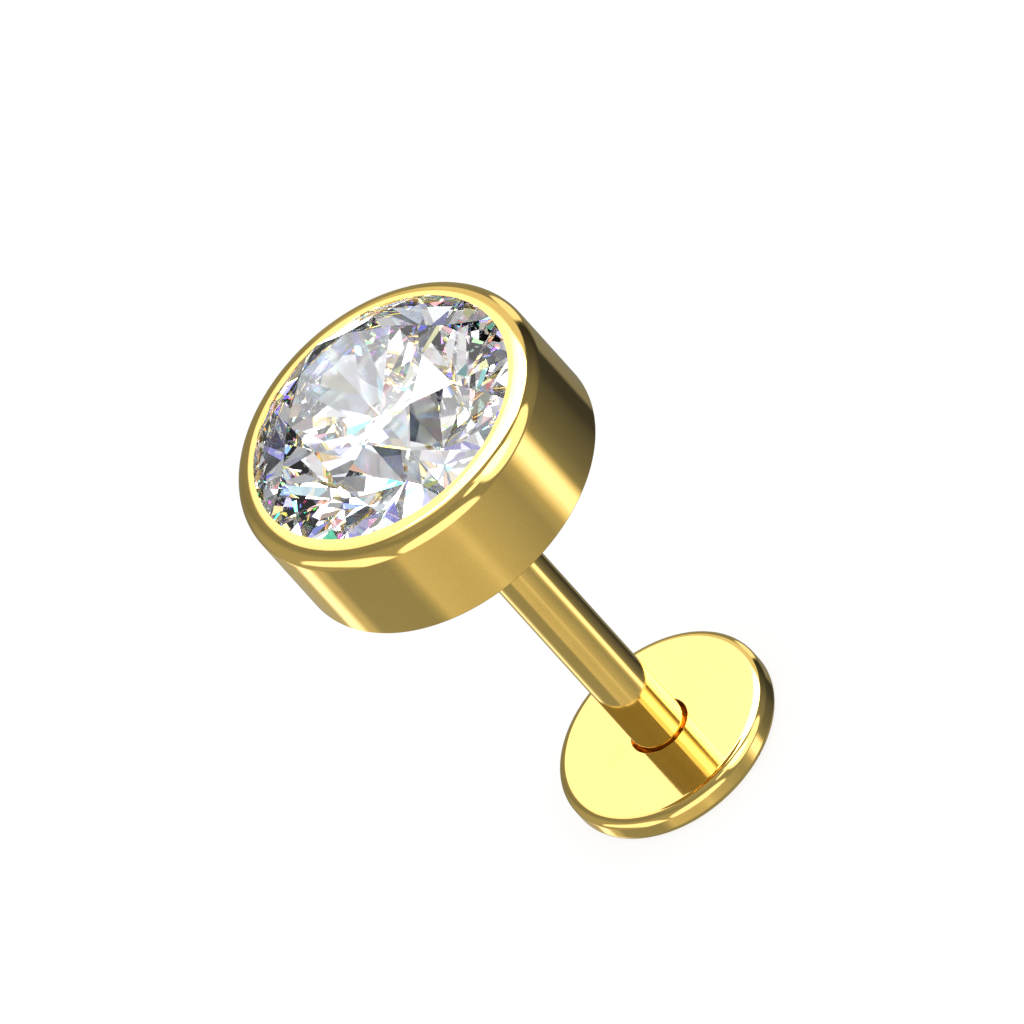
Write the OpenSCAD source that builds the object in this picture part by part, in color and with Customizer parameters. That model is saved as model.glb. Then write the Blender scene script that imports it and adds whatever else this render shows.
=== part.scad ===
// Labret stud in yellow gold: a flat disc with a hollow post, and a round
// stone in a rub-over cup whose pin pushes into the post.
// Millimetres. The disc lies on z = 0 and the post stands along the Z axis.

/* [Disc] */
// Diameter of the flat disc
disc_d = 4.04; // [3:0.01:6]
// Thickness of the disc
disc_t = 0.56; // [0.4:0.01:1]
// Rounding of the disc's upper and lower edges
disc_edge_r = 0.18; // [0.05:0.01:0.19]

/* [Post] */
// Diameter of the post
post_d = 1; // [1:0.1:1.6]
// Length of the post from the disc to its open end
post_len = 7.03; // [5:0.01:12]
// Length of solid post under the bore
post_solid_len = 1.4; // [0.5:0.1:3]
// Width of the fine groove round the foot of the post
groove_w = 0.06; // [0.02:0.01:0.15]
// Depth of the groove in the disc
groove_depth = 0.14; // [0.03:0.01:0.18]
// Rounding of the post's open end
post_tip_r = 0.04; // [0.01:0.01:0.06]

/* [Push pin] */
// Diameter of the pin under the cup
pin_d = 0.5; // [0.4:0.01:0.55]
// Clearance of the pin in the bore, on the radius
pin_play = 0.03; // [0.01:0.01:0.06]
// Free depth of the bore beyond the pin's end
pin_end_gap = 0.6; // [0.1:0.1:1.5]
// Rounding of the pin's end
pin_tip_r = 0.12; // [0.02:0.01:0.18]
// Width of the lead-in at the mouth of the bore
bore_lead = 0.04; // [0.01:0.01:0.06]

/* [Cup] */
// Wall of the cup outside the stone's girdle
cup_wall = 0.385; // [0.36:0.005:0.8]
// Floor of the cup
cup_floor = 0.12; // [0.1:0.01:0.5]
// Rounding of the rim's outer edge
rim_r = 0.34; // [0.1:0.01:0.36]
// Rim's height above the stone's girdle
rim_over = 0.1; // [0.09:0.01:0.3]
// Width by which the lip covers the girdle
lip_cover = 0.03; // [0.01:0.01:0.04]
// Width of the bearing under the girdle
bearing_w = 0.12; // [0.08:0.01:0.4]
// Rounding of the cup's lower edge
cup_edge_r = 0.03; // [0.01:0.01:0.2]
// Seam between the cup and the post's end
cup_seam = 0.01; // [0.01:0.01:0.05]

/* [Stone] */
// Diameter of the stone at its girdle
stone_d = 5.07; // [4.6:0.01:6.5]
// Height of the crown above the girdle
crown_h = 0.95; // [0.6:0.01:1.1]
// Least thickness of the girdle
girdle_t = 0.03; // [0.02:0.01:0.15]
// Depth of the pavilion under the girdle
pavilion_h = 1.91; // [1.6:0.01:2.6]
// Width of the table across its flats
table_w = 2.474; // [2:0.01:2.8]
// Diameter of the circle through the star facets' outer tips
star_d = 3.66; // [3.3:0.01:3.8]
// Diameter of the circle through the lower girdle facets' inner tips
half_tip_d = 1.1; // [0.6:0.01:2]
// Gap between the stone and the cup
stone_gap = 0.015; // [0.01:0.005:0.03]
// Gap between the culet and the cup's floor
culet_gap = 0.04; // [0.02:0.01:0.3]

/* [Hidden] */
$fn = 96;
GOLD = [0.86, 0.71, 0.32];
CLEAR = [0.93, 0.94, 0.98];

// The stone has eight mains, and each span between two mains holds two girdle facets
MAINS = 8;
half_span = 180 / MAINS;

post_r = post_d / 2;
pin_r = pin_d / 2;
bore_r = pin_r + pin_play;
bore_depth = post_len - post_solid_len;
pin_len = bore_depth - pin_end_gap + cup_seam;

// Heights in the cup, measured from its lower face
culet_z = cup_floor + culet_gap;
girdle_low_z = culet_z + pavilion_h;
girdle_top_z = girdle_low_z + girdle_t;
table_z = girdle_top_z + crown_h;
cup_h = girdle_top_z + rim_over;
cup_z = disc_t + post_len + cup_seam;

stone_r = stone_d / 2;
// Corners of the sixteen girdle edges, just outside the round girdle
main_r = stone_r / cos(half_span / 2);
table_r = table_w / 2;
table_corner_r = table_r / cos(half_span);
star_r = star_d / 2;
half_tip_r = half_tip_d / 2;

// Slopes of the mains, as rise over run, and the heights that keep their facets flat
main_slope = crown_h / (main_r - table_corner_r);
pavilion_slope = pavilion_h / main_r;
star_z = girdle_top_z + (main_r - star_r * cos(half_span)) * main_slope;
half_tip_z = girdle_low_z - (main_r - half_tip_r * cos(half_span)) * pavilion_slope;

seat_r = stone_r + stone_gap;
cup_r = seat_r + cup_wall;
opening_r = stone_r - lip_cover;
cavity_r = seat_r - bearing_w;

// What a rounding of radius e takes off the outer corner at (r, z) of a half section:
// side is 1 for an upper corner and -1 for a lower one
module corner_cut(r, z, e, side) {
    difference() {
        translate([r - e, z - e]) square(2 * e);
        translate([r - e, z - side * e]) circle(e);
    }
}

// Half section of a round slab from z = low to z = high
module half_slab(r, low, high) {
    translate([0, low]) square([r, high - low]);
}

// Room for the post's foot and the groove round it, whose outer side slopes down to the post
module foot_groove() {
    outer_r = post_r + groove_w;
    polygon([[0, disc_t - groove_depth], [post_r, disc_t - groove_depth], [outer_r, disc_t],
             [outer_r, 2 * disc_t], [0, 2 * disc_t]]);
}

module bore_section() {
    top = disc_t + post_len;
    half_slab(bore_r, top - bore_depth, top + bore_lead);
    polygon([[0, top - bore_lead], [bore_r, top - bore_lead],
             [bore_r + 2 * bore_lead, top + bore_lead], [0, top + bore_lead]]);
}

module labret_back() {
    color(GOLD)
        rotate_extrude()
            difference() {
                union() {
                    difference() {
                        half_slab(disc_d / 2, 0, disc_t);
                        corner_cut(disc_d / 2, disc_t, disc_edge_r, 1);
                        corner_cut(disc_d / 2, 0, disc_edge_r, -1);
                        foot_groove();
                    }
                    difference() {
                        half_slab(post_r, disc_t / 2, disc_t + post_len);
                        corner_cut(post_r, disc_t + post_len, post_tip_r, 1);
                    }
                }
                bore_section();
            }
}

// Height of a line beside the crown at radius r, and of one beside the pavilion
function above_crown(r) = girdle_top_z + (main_r - r) * main_slope + stone_gap;
function below_pavilion(r) = girdle_low_z - (main_r - r) * pavilion_slope - stone_gap;

// The stone's room in the cup: hollow under the bearing, and open at the lip
module cavity_section() {
    polygon([[0, cup_floor], [cavity_r, cup_floor], [cavity_r, below_pavilion(cavity_r)],
             [seat_r, below_pavilion(seat_r)], [seat_r, above_crown(seat_r)],
             [opening_r, above_crown(opening_r)], [opening_r, cup_h + rim_r], [0, cup_h + rim_r]]);
}

module bezel_cup() {
    color(GOLD)
        translate([0, 0, cup_z])
            rotate_extrude() {
                difference() {
                    half_slab(cup_r, 0, cup_h);
                    corner_cut(cup_r, cup_h, rim_r, 1);
                    corner_cut(cup_r, 0, cup_edge_r, -1);
                    cavity_section();
                }
                difference() {
                    half_slab(pin_r, -pin_len, cup_floor);
                    corner_cut(pin_r, -pin_len, pin_tip_r, -1);
                }
            }
}

// Points round the axis at radius r and height z, the first one shift steps round
function ring(n, r, z, shift) =
    [for (i = [0 : n - 1]) let (a = (i + shift) * 360 / n) [r * cos(a), r * sin(a), z]];

// Places of the stone's corners in its list of points
function corner(i) = i % MAINS;
function star_tip(i) = MAINS + (i + MAINS) % MAINS;
function top_edge(k) = 2 * MAINS + k % (2 * MAINS);
function low_edge(k) = 4 * MAINS + k % (2 * MAINS);
function half_tip(i) = 6 * MAINS + (i + MAINS) % MAINS;
culet = 7 * MAINS;

// Flat facets over sixteen straight girdle edges, which the round girdle then trims
module facets() {
    polyhedron(
        points = concat(
            ring(MAINS, table_corner_r, table_z, 0.5), ring(MAINS, star_r, star_z, 1),
            ring(2 * MAINS, main_r, girdle_top_z, 0), ring(2 * MAINS, main_r, girdle_low_z, 0),
            ring(MAINS, half_tip_r, half_tip_z, 1), [[0, 0, culet_z]]),
        faces = concat(
            [[for (i = [MAINS - 1 : -1 : 0]) corner(i)]],
            [for (i = [0 : MAINS - 1]) [corner(i), corner(i + 1), star_tip(i)]],
            [for (i = [0 : MAINS - 1]) [corner(i), star_tip(i), top_edge(2 * i + 1), star_tip(i - 1)]],
            [for (i = [0 : MAINS - 1], k = [2 * i + 1, 2 * i + 2])
                [star_tip(i), top_edge(k + 1), top_edge(k)]],
            [for (k = [0 : 2 * MAINS - 1])
                [top_edge(k), top_edge(k + 1), low_edge(k + 1), low_edge(k)]],
            [for (i = [0 : MAINS - 1], k = [2 * i + 1, 2 * i + 2])
                [half_tip(i), low_edge(k), low_edge(k + 1)]],
            [for (i = [0 : MAINS - 1]) [culet, half_tip(i - 1), low_edge(2 * i + 1), half_tip(i)]]));
}

module stone() {
    color(CLEAR)
        translate([0, 0, cup_z])
            intersection() {
                facets();
                cylinder(r = stone_r, h = 2 * table_z);
            }
}

labret_back();
bezel_cup();
stone();
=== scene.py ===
from collections import namedtuple
from math import cos, pi, radians, sin

import bmesh
import bpy
from mathutils import Matrix, Vector


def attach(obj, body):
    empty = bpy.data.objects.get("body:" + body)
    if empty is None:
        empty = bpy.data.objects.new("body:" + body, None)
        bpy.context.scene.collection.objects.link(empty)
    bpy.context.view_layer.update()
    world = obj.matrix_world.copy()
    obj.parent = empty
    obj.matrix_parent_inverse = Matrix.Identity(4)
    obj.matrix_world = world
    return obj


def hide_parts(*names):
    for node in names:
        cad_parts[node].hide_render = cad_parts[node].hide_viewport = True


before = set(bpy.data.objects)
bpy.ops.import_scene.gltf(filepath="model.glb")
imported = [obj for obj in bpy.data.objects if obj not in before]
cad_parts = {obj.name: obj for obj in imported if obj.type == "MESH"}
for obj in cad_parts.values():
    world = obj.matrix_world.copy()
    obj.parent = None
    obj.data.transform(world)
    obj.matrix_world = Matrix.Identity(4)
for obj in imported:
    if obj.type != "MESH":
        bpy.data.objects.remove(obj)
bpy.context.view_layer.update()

MM = 0.001

# Sizes of the stud in millimetres
DISC_R, DISC_T, DISC_EDGE = 2.02, 0.56, 0.18
POST_R, POST_LEN, TIP_EDGE = 0.5, 7.03, 0.04
GROOVE_W, GROOVE_DEPTH, GROOVE_LIP = 0.06, 0.14, 0.01
PIN_R, PIN_LEN, PIN_EDGE = 0.25, 5.04, 0.12
PIN_PLAY, BORE_DEPTH, LEAD_IN = 0.03, 5.63, 0.04
STONE_R, TABLE_R, STAR_R, HALF_TIP_R = 2.535, 1.237, 1.83, 0.55
CROWN_H, GIRDLE_T, PAVILION_H = 0.95, 0.03, 1.91
CUP_WALL, FLOOR_T, BEARING_W, LIP_COVER, RIM_OVER = 0.385, 0.12, 0.12, 0.03, 0.1
RIM_EDGE, CUP_EDGE = 0.34, 0.03
SEAM, STONE_GAP, CULET_GAP = 0.01, 0.015, 0.04

# The stone has eight mains, and each span between two mains holds two girdle facets
MAINS = 8

# Radii and heights that follow from the sizes. Heights count from the disc's underside.
GROOVE_R, GROOVE_Z = POST_R + GROOVE_W, DISC_T - GROOVE_DEPTH
POST_TOP = DISC_T + POST_LEN
BORE_R, BORE_FLOOR = PIN_R + PIN_PLAY, POST_TOP - BORE_DEPTH
CUP_FOOT = POST_TOP + SEAM
PIN_END, CUP_FLOOR = CUP_FOOT - PIN_LEN, CUP_FOOT + FLOOR_T
CULET_Z = CUP_FLOOR + CULET_GAP
GIRDLE_LOW = CULET_Z + PAVILION_H
GIRDLE_TOP = GIRDLE_LOW + GIRDLE_T
TABLE_Z, CUP_RIM = GIRDLE_TOP + CROWN_H, GIRDLE_TOP + RIM_OVER
SEAT_R, OPENING_R = STONE_R + STONE_GAP, STONE_R - LIP_COVER
CUP_R, HOLLOW_R = SEAT_R + CUP_WALL, SEAT_R - BEARING_W

# The sixteen straight girdle edges meet just outside the round girdle
GIRDLE_CORNER_R = STONE_R / cos(pi / (2 * MAINS))
TABLE_CORNER_R = TABLE_R / cos(pi / MAINS)
CROWN_SLOPE = CROWN_H / (GIRDLE_CORNER_R - TABLE_CORNER_R)
PAVILION_SLOPE = PAVILION_H / GIRDLE_CORNER_R

# Flat steps in a turned piece's full round and in the stone's girdle
TURN_STEPS, GIRDLE_STEPS = 256, 192
# Points closer than these, in metres, become one in a turned piece, and lie in a facet's plane in the stone
SPIN_MERGE, GRIND_MERGE = 1e-7, 1e-8


class Link:
    """An output of a shader node that takes Python's operators."""

    def __init__(self, shader, socket):
        self.shader, self.socket = shader, socket

    def math(self, operation, *values):
        return self.shader.node("ShaderNodeMath", {"operation": operation}, dict(enumerate(values)))

    def __add__(self, other):
        return self.math("ADD", self, other)

    def __radd__(self, other):
        return self.math("ADD", other, self)

    def __sub__(self, other):
        return self.math("SUBTRACT", self, other)

    def __rsub__(self, other):
        return self.math("SUBTRACT", other, self)

    def __mul__(self, other):
        return self.math("MULTIPLY", self, other)

    def __rmul__(self, other):
        return self.math("MULTIPLY", other, self)

    def __truediv__(self, other):
        return self.math("DIVIDE", self, other)

    def __rtruediv__(self, other):
        return self.math("DIVIDE", other, self)

    def __pow__(self, other):
        return self.math("POWER", self, other)

    def __rpow__(self, other):
        return self.math("POWER", other, self)

    def magnitude(self):
        return self.math("ABSOLUTE", self)

    def step(self, low, high):
        """0 below low, 1 above high and a smooth rise between them."""
        return self.shader.node("ShaderNodeMapRange", {"interpolation_type": "SMOOTHSTEP"},
                                {"Value": self, "From Min": low, "From Max": high}, "Result")

    def band(self, low, high, blur):
        """1 between low and high, with edges as soft as blur."""
        return self.step(low - blur, low + blur) * (1 - self.step(high - blur, high + blur))


class Shader:
    """The nodes of one finish, or of the studio around the stud."""

    def __init__(self, tree):
        self.tree = tree
        tree.nodes.clear()

    def node(self, kind, settings=None, inputs=None, output=0):
        """A new node with its settings, a ramp's stops, and its sockets' values or links."""
        made = self.tree.nodes.new(kind)
        for name, value in (settings or {}).items():
            if name != "stops":
                setattr(made, name, value)
                continue
            ramp = made.color_ramp
            while len(ramp.elements) < len(value):
                ramp.elements.new(0.5)
            for element, (position, colour) in zip(ramp.elements, value):
                element.position, element.color = position, colour
        for name, value in (inputs or {}).items():
            if isinstance(value, Link):
                self.tree.links.new(value.socket, made.inputs[name])
            else:
                made.inputs[name].default_value = value
        return Link(self, made.outputs[output])

    def other(self, link, output):
        """Another output of the node that link comes from."""
        return Link(self, link.socket.node.outputs[output])

    def mix(self, factor, under, cover):
        """A colour that goes from under to cover as factor goes from 0 to 1."""
        return self.node("ShaderNodeMix", {"data_type": "RGBA"},
                         {"Factor": factor, "A": under, "B": cover}, "Result")

    def noise(self, spot, scale, detail):
        return self.node("ShaderNodeTexNoise", inputs={"Vector": spot, "Scale": scale, "Detail": detail})

    def round_the_post(self, spot):
        """How far a spot lies from the post's axis, and its height."""
        x = self.node("ShaderNodeSeparateXYZ", inputs={"Vector": spot}, output="X")
        y, height = self.other(x, "Y"), self.other(x, "Z")
        return (x * x + y * y) ** 0.5, height

    def finish(self, kind, surface):
        """The tree's output node, with the surface that it shows."""
        self.tree.links.new(surface.socket, self.tree.nodes.new(kind).inputs["Surface"])


def grey(value):
    return (value, value, value, 1.0)


def placed(name, data):
    """A new object in the scene with that mesh or camera."""
    made = bpy.data.objects.new(name, data)
    bpy.context.scene.collection.objects.link(made)
    return made


# The stud's pieces

def lean_on_large_faces(data, least_dot):
    """Shading that follows the larger faces at a corner, so that flats beside a rounding stay flat."""
    meeting = [[] for _ in data.vertices]
    for face in data.polygons:
        for corner in face.vertices:
            meeting[corner].append(face)
    normals = []
    for face in data.polygons:
        for corner in face.vertices:
            lean = Vector()
            for other in meeting[corner]:
                if face.normal.dot(other.normal) > least_dot:
                    lean += other.normal * (other.area / MM ** 2)
            normals.append(lean.normalized())
    data.normals_split_custom_set(normals)


def finished(name, mesh, body, node, finish, sharp_deg):
    """A piece of the stud from its mesh. Faces that turn by more than sharp_deg keep a crisp edge."""
    bmesh.ops.recalc_face_normals(mesh, faces=mesh.faces)
    for face in mesh.faces:
        face.smooth = True
    data = bpy.data.meshes.new(name)
    mesh.to_mesh(data)
    mesh.free()
    lean_on_large_faces(data, cos(radians(sharp_deg)))
    data.materials.append(finish)
    piece = placed(name, data)
    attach(piece, body)
    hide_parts(node)
    return piece


def lathe(name, corners, rounds, body, node, finish):
    """A turned piece: its half outline's corners are rounded, then spun round the post's axis. By a
    corner's place in the outline, rounds gives its radius and the number of flats in its rounding."""
    mesh = bmesh.new()
    points = [mesh.verts.new((r * MM, 0, z * MM)) for r, z in corners]
    for a, b in zip(points, points[1:] + points[:1]):
        if a.co.x > 0 or b.co.x > 0:
            mesh.edges.new((a, b))
    for index, (radius, segments) in rounds.items():
        bmesh.ops.bevel(mesh, geom=[points[index]], affect="VERTICES", offset=radius * MM,
                        segments=segments, profile=0.5, material=-1)
    bmesh.ops.spin(mesh, geom=mesh.verts[:] + mesh.edges[:], cent=(0, 0, 0), axis=(0, 0, 1),
                   angle=2 * pi, steps=TURN_STEPS, use_merge=True)
    bmesh.ops.remove_doubles(mesh, verts=mesh.verts, dist=SPIN_MERGE)
    return finished(name, mesh, body, node, finish, sharp_deg=30)


def disc_and_post(finish):
    """The flat disc with the groove round the post's foot, and the post with the bore for the pin."""
    outline = [(0, 0), (DISC_R, 0), (DISC_R, DISC_T), (GROOVE_R, DISC_T), (POST_R, GROOVE_Z),
               (POST_R, POST_TOP), (BORE_R + LEAD_IN, POST_TOP), (BORE_R, POST_TOP - LEAD_IN),
               (BORE_R, BORE_FLOOR), (0, BORE_FLOOR)]
    rounds = {1: (DISC_EDGE, 10), 2: (DISC_EDGE, 10), 3: (GROOVE_LIP, 3), 5: (TIP_EDGE, 4)}
    return lathe("disc_and_post", outline, rounds, "back", "labret_back", finish)


def above_crown(radius):
    """Height of the line that runs just over the stone's crown."""
    return GIRDLE_TOP + (GIRDLE_CORNER_R - radius) * CROWN_SLOPE + STONE_GAP


def below_pavilion(radius):
    """Height of the line that runs just under the stone's pavilion."""
    return GIRDLE_LOW - (GIRDLE_CORNER_R - radius) * PAVILION_SLOPE - STONE_GAP


def cup_and_pin(finish):
    """The cup, with its lip over the stone's girdle and its bearing under it, and the pin below the cup."""
    outline = [(0, PIN_END), (PIN_R, PIN_END), (PIN_R, CUP_FOOT), (CUP_R, CUP_FOOT), (CUP_R, CUP_RIM),
               (OPENING_R, CUP_RIM), (OPENING_R, above_crown(OPENING_R)), (SEAT_R, above_crown(SEAT_R)),
               (SEAT_R, below_pavilion(SEAT_R)), (HOLLOW_R, below_pavilion(HOLLOW_R)),
               (HOLLOW_R, CUP_FLOOR), (0, CUP_FLOOR)]
    rounds = {1: (PIN_EDGE, 8), 3: (CUP_EDGE, 3), 4: (RIM_EDGE, 16)}
    return lathe("cup_and_pin", outline, rounds, "head", "bezel_cup", finish)


def at(radius, angle, height):
    return Vector((radius * cos(angle), radius * sin(angle), height)) * MM


def facet(mesh, a, b, c):
    """Grinds away what lies outside the plane through three points of a facet."""
    normal = (b - a).cross(c - a).normalized()
    centre = at(0, 0, GIRDLE_LOW)
    if normal.dot(a - centre) < 0:
        normal.negate()
    bmesh.ops.bisect_plane(mesh, geom=mesh.verts[:] + mesh.edges[:] + mesh.faces[:],
                           dist=GRIND_MERGE, plane_co=a, plane_no=normal, clear_outer=True)
    bmesh.ops.holes_fill(mesh, edges=[edge for edge in mesh.edges if edge.is_boundary], sides=0)


def faceted_stone(finish):
    """The stone, ground facet by facet from a round blank."""
    mesh = bmesh.new()
    bmesh.ops.create_cone(mesh, cap_ends=True, segments=GIRDLE_STEPS, radius1=STONE_R * MM,
                          radius2=STONE_R * MM, depth=(TABLE_Z - CULET_Z) * MM,
                          matrix=Matrix.Translation((0, 0, (TABLE_Z + CULET_Z) / 2 * MM)))
    span = 2 * pi / MAINS
    star_z = GIRDLE_TOP + (GIRDLE_CORNER_R - STAR_R * cos(span / 2)) * CROWN_SLOPE
    half_tip_z = GIRDLE_LOW - (GIRDLE_CORNER_R - HALF_TIP_R * cos(span / 2)) * PAVILION_SLOPE
    culet = at(0, 0, CULET_Z)
    for k in range(MAINS):
        kite = (k + 0.5) * span
        star = kite + span / 2
        corner, next_corner = at(TABLE_CORNER_R, kite, TABLE_Z), at(TABLE_CORNER_R, kite + span, TABLE_Z)
        tip, half_tip = at(STAR_R, star, star_z), at(HALF_TIP_R, star, half_tip_z)
        facet(mesh, corner, tip, at(GIRDLE_CORNER_R, kite, GIRDLE_TOP))
        facet(mesh, corner, next_corner, tip)
        facet(mesh, culet, half_tip, at(GIRDLE_CORNER_R, kite, GIRDLE_LOW))
        for outer in (star - span / 2, star + span / 2):
            for inner, height in ((tip, GIRDLE_TOP), (half_tip, GIRDLE_LOW)):
                facet(mesh, inner, at(GIRDLE_CORNER_R, star, height), at(GIRDLE_CORNER_R, outer, height))
    return finished("faceted_stone", mesh, "head", "stone", finish, sharp_deg=2)


# Finishes

DEEP_GOLD, PALE_GOLD = (0.92, 0.685, 0.28, 1.0), (1.0, 0.765, 0.325, 1.0)
# The dark tone is painted shade for the groove round the post's foot; the white one is the cup's plating
# under the stone
GROOVE_PAINTED_SHADE, WHITE_PLATING = (0.68, 0.5, 0.28, 1.0), (0.78, 0.79, 0.81, 1.0)
COOL_VEIL = (0.985, 0.99, 1.0, 1.0)
# The values of haze and veil between which one tone goes over into the other
GOLD_TURNS, VEIL_TURNS = (0.3, 0.7), (0.35, 0.65)
# How close the soft waves, the haze, the wheel marks and the girdle's grind lie, in repeats per metre
WAVE_SCALE, HAZE_SCALE, MARK_SCALE, GRIND_SCALE = 260.0, 900.0, 26000.0, 30000.0
# How high waves and wheel marks stand, as shares of a relief of that strength and depth in metres
WAVE_HEIGHT, MARK_HEIGHT, RELIEF, RELIEF_DEPTH = 0.05, 0.0004, 0.04, 0.001
# Roughness of clean gold and of a clean girdle, and what haze, wheel marks and grind add to it
GOLD_ROUGH, HAZE_ROUGH, MARK_ROUGH = 0.045, 0.03, 0.02
GIRDLE_ROUGH, GRIND_ROUGH = 0.25, 0.3
STONE_IOR = 2.42
# In millimetres: how far under the stone's round face the ground girdle reaches, and how soft its edges are
GROUND_DEPTH, GROUND_BLUR, GIRDLE_BLUR = 0.005, 0.002, 0.003


def polished_gold(name, seed, low, high, radius, blur, plating_and_painted_shade):
    """Yellow gold off the buffing wheel: soft waves, faint haze and fine wheel marks. It takes another tone
    round the axis, between the heights low and high and within that radius: white plating on the cup, and
    painted shade in the groove at the post's foot."""
    material = bpy.data.materials.new(name)
    material.use_nodes = True
    shader = Shader(material.node_tree)
    spot = shader.node("ShaderNodeTexCoord", output="Object")
    place = shader.node("ShaderNodeMapping", inputs={"Vector": spot, "Location": (seed, seed, seed)})
    haze = shader.noise(place, HAZE_SCALE, detail=3.0)
    marks = shader.noise(place, MARK_SCALE, detail=2.0)
    wave = shader.noise(place, WAVE_SCALE, detail=1.0)
    relief = shader.node("ShaderNodeBump", inputs={
        "Height": wave * WAVE_HEIGHT + marks * MARK_HEIGHT, "Strength": RELIEF, "Distance": RELIEF_DEPTH})
    gold = shader.mix((haze * 0.5 + marks * 0.5).step(*GOLD_TURNS), DEEP_GOLD, PALE_GOLD)
    off_axis, height = shader.round_the_post(spot)
    near_axis = 1 - off_axis.step((radius - blur) * MM, (radius + blur) * MM)
    # The second tone laid near the axis: painted shade in the back's groove, white plating in the cup
    colour = shader.mix(height.band(low * MM, high * MM, blur * MM) * near_axis, gold, plating_and_painted_shade)
    surface = shader.node("ShaderNodeBsdfPrincipled", inputs={
        "Base Color": colour, "Metallic": 1.0, "Normal": relief,
        "Roughness": GOLD_ROUGH + HAZE_ROUGH * haze + MARK_ROUGH * marks}, output="BSDF")
    shader.finish("ShaderNodeOutputMaterial", surface)
    return material


def clear_stone():
    """Colourless stone: a ground girdle, polished facets, and the faintest cool veil in places."""
    material = bpy.data.materials.new("clear_faceted_stone")
    material.use_nodes = True
    shader = Shader(material.node_tree)
    spot = shader.node("ShaderNodeTexCoord", output="Object")
    off_axis, height = shader.round_the_post(spot)
    ground_r = STONE_R - GROUND_DEPTH
    outermost = off_axis.step((ground_r - GROUND_BLUR) * MM, (ground_r + GROUND_BLUR) * MM)
    girdle = outermost * height.band(GIRDLE_LOW * MM, GIRDLE_TOP * MM, GIRDLE_BLUR * MM)
    grind = shader.noise(spot, GRIND_SCALE, detail=2.0)
    veil = shader.noise(spot, HAZE_SCALE, detail=1.0)
    surface = shader.node("ShaderNodeBsdfPrincipled", inputs={
        "Base Color": shader.mix(veil.step(*VEIL_TURNS), grey(1.0), COOL_VEIL),
        "Roughness": girdle * (GIRDLE_ROUGH + GRIND_ROUGH * grind), "IOR": STONE_IOR,
        "Transmission Weight": 1.0}, output="BSDF")
    shader.finish("ShaderNodeOutputMaterial", surface)
    return material


# The groove round the post's foot is painted darker, as painted shade in the recess, and the cup is plated
# white under the stone
back_gold = polished_gold("polished_gold_back", seed=0.0, low=GROOVE_Z - 0.02, high=DISC_T - 0.015,
                          radius=GROOVE_R + 0.01, blur=0.01, plating_and_painted_shade=GROOVE_PAINTED_SHADE)
cup_gold = polished_gold("polished_gold_cup", seed=0.37, low=CUP_FLOOR - 0.04, high=GIRDLE_TOP + 0.015,
                         radius=SEAT_R + 0.035, blur=0.015, plating_and_painted_shade=WHITE_PLATING)
disc_and_post(back_gold)
cup_and_pin(cup_gold)
faceted_stone(clear_stone())

# Floor

# Half the floor's side in metres, the paper's tone, and its glow, which makes it as white as in the photo
FLOOR_HALF, PAPER_TONE, PAPER_GLOW = 0.3, 0.2, 0.82


def white_paper():
    """Matt paper that glows a little."""
    material = bpy.data.materials.new("white_paper")
    material.use_nodes = True
    sockets = material.node_tree.nodes["Principled BSDF"].inputs
    sockets["Base Color"].default_value = grey(PAPER_TONE)
    sockets["Roughness"].default_value = 1.0
    sockets["Specular IOR Level"].default_value = 0.0
    sockets["Emission Color"].default_value = grey(1.0)
    sockets["Emission Strength"].default_value = PAPER_GLOW
    return material


floor_mesh = bmesh.new()
bmesh.ops.create_grid(floor_mesh, x_segments=1, y_segments=1, size=FLOOR_HALF)
floor_data = bpy.data.meshes.new("pale_floor")
floor_mesh.to_mesh(floor_data)
floor_mesh.free()
floor_data.materials.append(white_paper())
floor = placed("pale_floor", floor_data)
# The stud doesn't show the floor, so that its gold and stone show the studio, as in the photo
floor.visible_glossy = False
floor.visible_transmission = False

# Studio

# A window, a lamp or a lit patch of wall: the turn and rise of its middle, half its width and height, in
# degrees, how soft its edge is, and its brightness, which is a window's unless it says otherwise
WINDOW_GLOW = 1.5
Patch = namedtuple("Patch", "turn rise width height blur glow", defaults=[WINDOW_GLOW])
HIGH_WALL = Patch(turn=-12, rise=75, width=70, height=25, blur=0.5, glow=0.37)
LEFT_WALL = Patch(turn=-85, rise=-10, width=60, height=45, blur=0.6, glow=0.42)
LEFT_ARCH = Patch(turn=-82.5, rise=-40, width=30, height=57, blur=0.12)
FRONT_ARCH = Patch(turn=-18, rise=-40, width=30.5, height=57, blur=0.12)
ARCH_SHADE = Patch(turn=-97, rise=-40, width=20, height=28, blur=0.2)
TALL_WINDOW = Patch(turn=48, rise=30, width=28, height=55, blur=0.12)
TALL_WINDOW_EDGE = Patch(turn=18, rise=42, width=12, height=9, blur=0.3)
BRIGHT_CORE = Patch(turn=39, rise=34, width=14, height=22, blur=0.5, glow=3.2)
SMALL_WINDOW = Patch(turn=140, rise=0, width=9, height=18, blur=0.3, glow=1.2)
LIT_WALL = Patch(turn=146, rise=30, width=32, height=13, blur=0.4, glow=0.85)
BACK_LAMP = Patch(turn=180, rise=55, width=30, height=30, blur=0.3, glow=3.5)
BACK_LAMP_CORE = Patch(turn=-180, rise=90, width=50, height=40, blur=0.3, glow=4.6)
# How square the patches are: 2 would make an ellipse
SQUARENESS = 2.6
# The tall window's top is cut where the rise and this much of the turn come to that sum
TALL_SLANT, TALL_CUT = 0.62, (76, 82)

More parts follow.
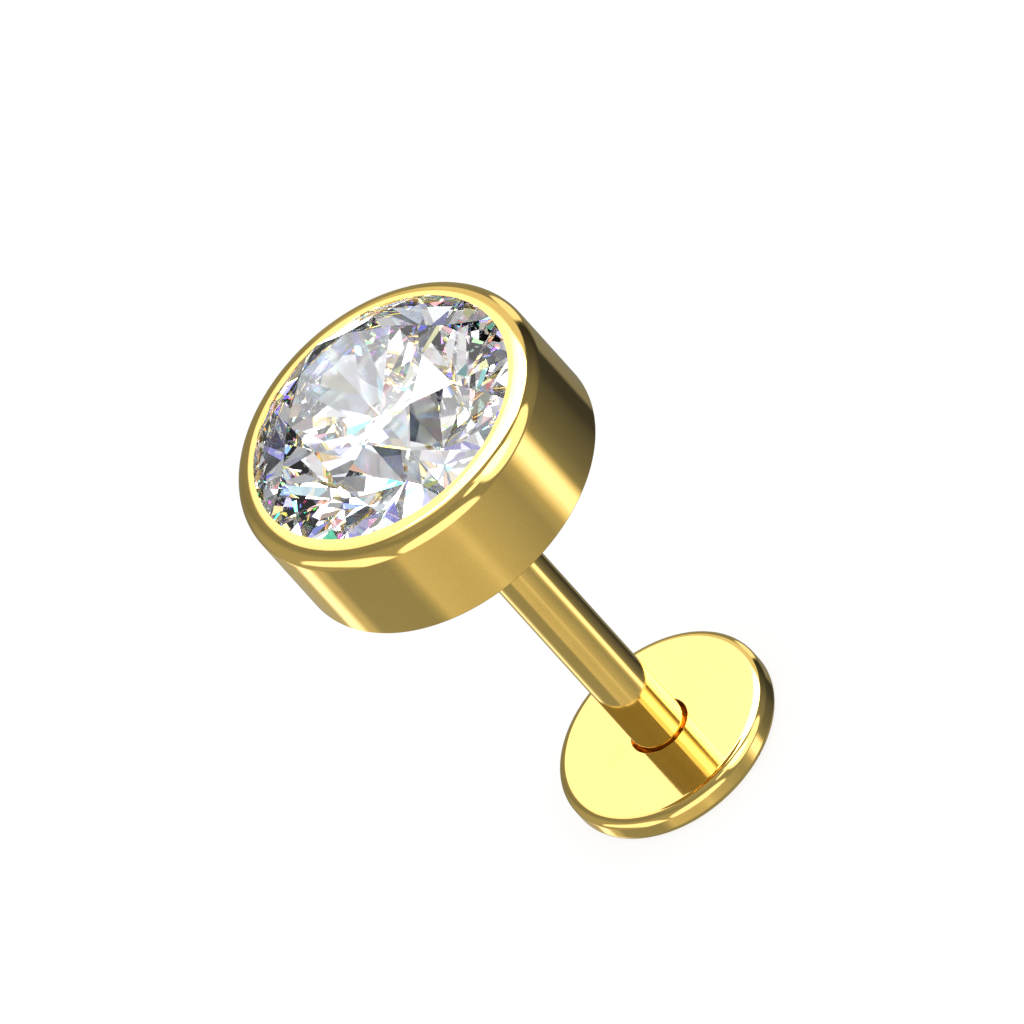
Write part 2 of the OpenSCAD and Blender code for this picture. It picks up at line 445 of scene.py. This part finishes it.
# Brightness of the walls, and of the zone at the windows' lower ends, at each turn
WALL_GLOW = [(-180, 0.3), (-150, 0.22), (-60, 0.24), (-15, 0.34), (20, 0.3), (75, 0.26), (90, 0.2),
             (105, 0.1), (118, 0.05), (128, 0.03), (134, 0.2), (180, 0.35)]
LOW_GLOW = [(-180, 0.4), (-142, 0.5), (-137, 1.5), (-128, 1.5), (-122, 0.62), (-116, 0.58), (-110, 0.33),
            (-66, 0.31), (-60, 0.42), (-55, 0.66), (-30, 0.6), (-20, 0.63), (-12, 0.76), (-4, 0.56),
            (12, 0.46), (34, 0.35), (44, 0.5), (50, 1.1), (55, 1.6), (64, 1.5), (71, 0.27), (84, 0.17),
            (108, 0.1), (120, 0.055), (136, 0.045), (141, 0.25), (180, 0.22)]
UPPER_WALL_GLOW, LOWEST_GLOW = 0.28, 0.3
# The rises between which the walls go over into their upper part, the low zone and the lowest part
UPPER_RISES, LOW_RISES, LOWEST_RISES = (8, 60), (-39, -31), (-56, -44)
# The great overhead light: the rise of its lower edge, and its brightness, at each turn
OVERHEAD_EDGE = [(-180, 38), (-168, 39), (-150, 43), (-140, 50), (-120, 60), (-105, 69), (-90, 79),
                 (60, 84), (70, 62), (77, 42), (90, 37), (100, 31), (110, 28), (120, 32), (135, 38),
                 (150, 41), (165, 39), (180, 38)]
OVERHEAD_GLOW = [(-180, 1.6), (-166, 1.45), (-120, 1.4), (-60, 1.2), (60, 1.2), (75, 4.5), (130, 5.5),
                 (150, 3.5), (165, 1.8), (180, 1.6)]
# How soft its lower edge is, and the rises between which the lamp at the back and its core come up
OVERHEAD_BLUR, BACK_LAMP_RISES, LAMP_CORE_RISES = 2.5, (42, 46), (66, 74)
# Tone of the light on metal, at shares of this range of brightness. Its red is divided out.
TONE_RED, TONE_RANGE = 0.7, 2
LIGHT_TONES = [(0.03, (TONE_RED, 0.7, 0.6, 1)), (0.15, (TONE_RED, 0.67, 0.46, 1)),
               (0.3, (TONE_RED, 0.615, 0.37, 1)), (0.6, (TONE_RED, 0.64, 0.46, 1)),
               (0.8, (TONE_RED, 0.66, 0.56, 1))]

# Inside the stone the light's colours go aside by this many degrees times the square of the bounces, and
# upwards by a share of that
FIRE, FIRE_RISE = 0.05, 0.25
# How bright the stone shows the studio, and the brightness to which it evens out the walls
THROUGH, STONE_WALLS = 1.2, 0.5
# How far each colour goes aside, and what is left of it after each bounce
COLOURS = [("Red", -1, 0.9765), ("Green", -0.3, 0.977), ("Blue", 1, 0.979)]
# The stone's facets show the studio in cells of this many degrees, each dimmed or lit between these two
CELL_DEG, CELL_LOW, CELL_HIGH = 20.0, 0.05, 1.9
# Off its outer faces: how bright it shows the walls, how much brighter the windows, and the brightness
# between which a wall counts as a window
OUTSIDE_WALLS, OUTSIDE_WINDOWS, WINDOW_RANGE = 0.5, 0.55, (0.3, 1.2)
# The studio's brightness on matt surfaces, and behind the floor
PLAIN_GLOW = 1.1

studio = bpy.data.worlds.new("studio")
studio.use_nodes = True
bpy.context.scene.world = studio
light = Shader(studio.node_tree)
way = light.node("ShaderNodeTexCoord", output="Generated")
across = light.node("ShaderNodeSeparateXYZ", inputs={"Vector": way}, output="X")
away, up = light.other(across, "Y"), light.other(across, "Z")
# 1 where the studio is seen mirrored, through the stone, and either through the stone or mirrored by it
mirrored = light.node("ShaderNodeLightPath", output="Is Glossy Ray")
in_stone = light.other(mirrored, "Is Transmission Ray")
by_stone = in_stone.math("MAXIMUM", in_stone, light.other(mirrored, "Is Singular Ray"))


def oval(turn, rise, patch):
    """1 inside a patch of the studio, 0 outside it."""
    off_turn = ((turn - patch.turn) / patch.width).magnitude()
    off_rise = ((rise - patch.rise) / patch.height).magnitude()
    return 1 - (off_turn ** SQUARENESS + off_rise ** SQUARENESS).step(1 - patch.blur, 1 + patch.blur)


def curve(turn, points):
    """A number that follows the turn through points."""
    top = max(value for _, value in points)
    stops = [((place + 180) / 360, grey(value / top)) for place, value in points]
    ramp = light.node("ShaderNodeValToRGB", {"stops": stops}, {"Fac": (turn + 180) / 360}, "Color")
    return light.node("ShaderNodeSeparateColor", inputs={"Color": ramp}) * top


def lay(under, cover, value):
    """That value laid over what is under it, where cover is 1."""
    return under + cover * (value - under)


def studio_light(turn, rise):
    """Brightness of the studio in a direction: turn round the post from the viewer's side, and rise."""
    def shine(under, patch, within=1):
        """A patch laid over what is under it, where within is 1."""
        return lay(under, within * oval(turn, rise, patch), patch.glow)

    glow = lay(curve(turn, WALL_GLOW), rise.step(*UPPER_RISES), UPPER_WALL_GLOW)
    glow = shine(shine(lay(glow, in_stone, STONE_WALLS), HIGH_WALL), LEFT_WALL)
    # Two arched windows low in front, their lower ends fading
    arches = oval(turn, rise, LEFT_ARCH) * (1 - oval(turn, rise, ARCH_SHADE))
    arches = arches.math("MAXIMUM", arches, oval(turn, rise, FRONT_ARCH))
    glow = lay(glow, arches, WINDOW_GLOW)
    glow = lay(glow, 1 - rise.step(*LOW_RISES), curve(turn, LOW_GLOW))
    glow = lay(glow, 1 - rise.step(*LOWEST_RISES), LOWEST_GLOW)
    # Tall window on the right, its top cut on a slant, with a bright core
    tall = oval(turn, rise, TALL_WINDOW) * (1 - (rise + TALL_SLANT * turn).step(*TALL_CUT))
    tall = tall.math("MAXIMUM", tall, oval(turn, rise, TALL_WINDOW_EDGE))
    glow = shine(lay(glow, tall, WINDOW_GLOW), BRIGHT_CORE)
    # Small window on the far right, and the lit wall over it
    glow = shine(shine(glow, SMALL_WINDOW), LIT_WALL)
    # Great overhead light: bright from the right round to the back, softer on the left
    overhead = (rise - curve(turn, OVERHEAD_EDGE)).step(-OVERHEAD_BLUR, OVERHEAD_BLUR)
    glow = lay(glow, overhead, curve(turn, OVERHEAD_GLOW))
    glow = shine(glow, BACK_LAMP, overhead * rise.step(*BACK_LAMP_RISES))
    return shine(glow, BACK_LAMP_CORE, rise.step(*LAMP_CORE_RISES))


def toned(glow, channel):
    """The light in its tone: warm on metal, cooler in dark corners and windows, and white on the stone."""
    tone = light.node("ShaderNodeValToRGB", {"stops": LIGHT_TONES}, {"Fac": glow / TONE_RANGE}, "Color")
    tone = light.node("ShaderNodeSeparateColor", inputs={"Color": tone}, output=channel) / TONE_RED
    return glow * lay(tone, by_stone, 1.0)


def in_cells(turn, rise):
    """Brightness of the cell that the stone's facets show in a direction."""
    spot = light.node("ShaderNodeCombineXYZ", inputs={"X": turn, "Y": rise})
    cells = light.node("ShaderNodeTexVoronoi", inputs={"Vector": spot, "Scale": 1 / CELL_DEG},
                       output="Color")
    cells = light.node("ShaderNodeSeparateColor", inputs={"Color": cells})
    return CELL_LOW + (CELL_HIGH - CELL_LOW) * cells


turn = across.math("ARCTAN2", across, 0 - away) * (180 / pi)
rise = up.math("ARCSINE", up) * (180 / pi)
# Light that has been through the stone is spread into colours, as its facets do
depth = light.other(mirrored, "Ray Depth") * in_stone
spread = depth * depth * FIRE
colours = []
for channel, share, fade in COLOURS:
    turned, raised = turn + spread * share, rise + spread * (share * FIRE_RISE)
    glow = studio_light(turned, raised)
    outside = lay(1.0, by_stone, OUTSIDE_WALLS + OUTSIDE_WINDOWS * glow.step(*WINDOW_RANGE))
    through = THROUGH * (fade ** depth * in_cells(turned, raised))
    colours.append(toned(glow, channel) * lay(outside, in_stone, through))
colour = light.node("ShaderNodeCombineColor", inputs=dict(enumerate(colours)))
gloss = light.node("ShaderNodeBackground", inputs={"Color": colour, "Strength": 1.0})
plain = light.node("ShaderNodeBackground", inputs={"Color": grey(1.0), "Strength": PLAIN_GLOW})
in_the_stud = mirrored.math("MAXIMUM", mirrored, in_stone)
both = light.node("ShaderNodeMixShader", inputs={0: in_the_stud, 1: plain, 2: gloss})
light.finish("ShaderNodeOutputWorld", both)

# Camera

# The photo looks down on the stud at the first angle, and the post stands at the second one to the picture's
# lower edge, leaning to the left
LOOK_DOWN, LEAN = radians(40.54), radians(47.93)
PHOTO_PIXELS, PIXELS_PER_MM = 1024, 59.15
# The middle of the disc's underside stands at this place in the photo, in pixels from its upper left corner
DISC_X, DISC_Y = 675.7, 744.3
# In millimetres: how far away the camera stands, and what is too near for it to see
CAMERA_AWAY, CAMERA_NEAR = 50, 1

view = Vector((0, cos(LOOK_DOWN), -sin(LOOK_DOWN)))
post_up, side = Vector((0, sin(LOOK_DOWN), cos(LOOK_DOWN))), Vector((1, 0, 0))
right = side * sin(LEAN) - post_up * cos(LEAN)
top = post_up * sin(LEAN) + side * cos(LEAN)
middle = PHOTO_PIXELS / 2
centre = (right * (middle - DISC_X) + top * (DISC_Y - middle)) / PIXELS_PER_MM
camera_data = bpy.data.cameras.new("camera")
camera_data.type = "ORTHO"
camera_data.ortho_scale = PHOTO_PIXELS / PIXELS_PER_MM * MM
camera_data.clip_start = CAMERA_NEAR * MM
camera = placed("camera", camera_data)
turned_to_stud = Matrix((right, top, -view)).transposed().to_4x4()
camera.matrix_world = Matrix.Translation((centre - view * CAMERA_AWAY) * MM) @ turned_to_stud
bpy.context.scene.camera = camera
bpy.context.scene.view_settings.view_transform = "Standard"
# The stone throws light back and forth inside it many times
bpy.context.scene.cycles.max_bounces = 24
bpy.context.scene.cycles.glossy_bounces = 20
bpy.context.scene.cycles.transmission_bounces = 20
